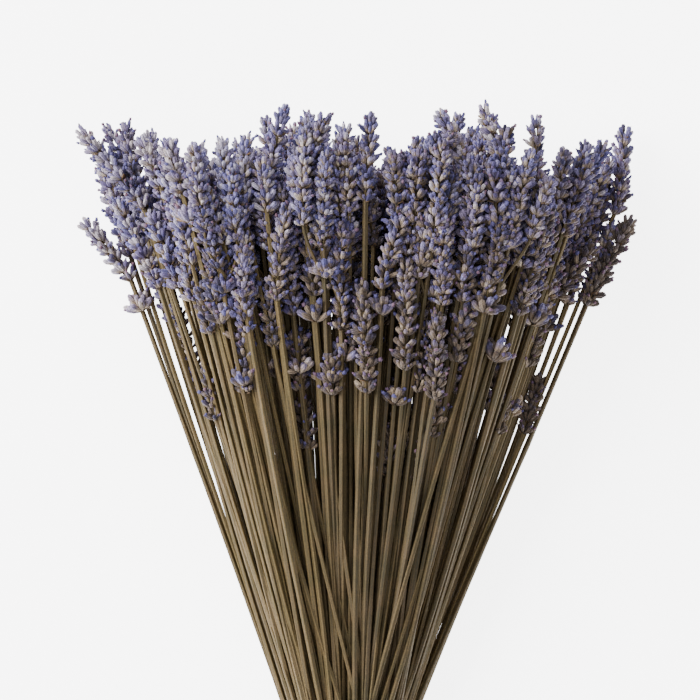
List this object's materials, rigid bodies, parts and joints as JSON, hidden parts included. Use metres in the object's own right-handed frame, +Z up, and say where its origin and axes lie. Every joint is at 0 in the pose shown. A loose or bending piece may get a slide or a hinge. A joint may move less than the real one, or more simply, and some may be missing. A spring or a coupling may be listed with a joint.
{
  "type": "bunch of dried lavender",
  "caption": "Loose bunch of dried lavender lying on its side: slender stems through a narrow waist, fanning out to a wide two-lobed crown of whorled flower heads.",
  "frame": {"origin": "on the surface that the bunch lies on, under the middle of its box", "axes": "+Y along the stems from the cut ends to the flower tips, +X to the right seen from above with the tips away, +Z up from the surface"},
  "size_m": [0.2472, 0.3384, 0.0908],
  "materials": {
    "dried_stem": "matte",
    "dried_flower": "matte"
  },
  "bodies": {
    "root": {"bundle_01_stems": "dried_stem", "bundle_01_heads": "dried_flower", "bundle_02_stems": "dried_stem", "bundle_02_heads": "dried_flower", "bundle_03_stems": "dried_stem", "bundle_03_heads": "dried_flower", "bundle_04_stems": "dried_stem", "bundle_04_heads": "dried_flower", "bundle_05_stems": "dried_stem", "bundle_05_heads": "dried_flower", "bundle_06_stems": "dried_stem", "bundle_06_heads": "dried_flower", "bundle_07_stems": "dried_stem", "bundle_07_heads": "dried_flower", "bundle_08_stems": "dried_stem", "bundle_08_heads": "dried_flower", "bundle_09_stems": "dried_stem", "bundle_09_heads": "dried_flower", "bundle_10_stems": "dried_stem", "bundle_10_heads": "dried_flower", "bundle_11_stems": "dried_stem", "bundle_11_heads": "dried_flower", "bundle_12_stems": "dried_stem", "bundle_12_heads": "dried_flower", "bundle_13_stems": "dried_stem", "bundle_13_heads": "dried_flower", "bundle_14_stems": "dried_stem", "bundle_14_heads": "dried_flower", "bundle_15_stems": "dried_stem", "bundle_15_heads": "dried_flower", "bundle_16_stems": "dried_stem", "bundle_16_heads": "dried_flower", "bundle_17_stems": "dried_stem", "bundle_17_heads": "dried_flower", "bundle_18_stems": "dried_stem", "bundle_18_heads": "dried_flower", "bundle_19_stems": "dried_stem", "bundle_19_heads": "dried_flower", "bundle_20_stems": "dried_stem", "bundle_20_heads": "dried_flower", "bundle_21_stems": "dried_stem", "bundle_21_heads": "dried_flower", "bundle_22_stems": "dried_stem", "bundle_22_heads": "dried_flower", "bundle_23_stems": "dried_stem", "bundle_23_heads": "dried_flower", "bundle_24_stems": "dried_stem", "bundle_24_heads": "dried_flower", "bundle_25_stems": "dried_stem", "bundle_25_heads": "dried_flower", "bundle_26_stems": "dried_stem", "bundle_26_heads": "dried_flower", "bundle_27_stems": "dried_stem", "bundle_27_heads": "dried_flower", "bundle_28_stems": "dried_stem", "bundle_28_heads": "dried_flower", "bundle_29_stems": "dried_stem", "bundle_29_heads": "dried_flower"}
  },
  "joints": []
}
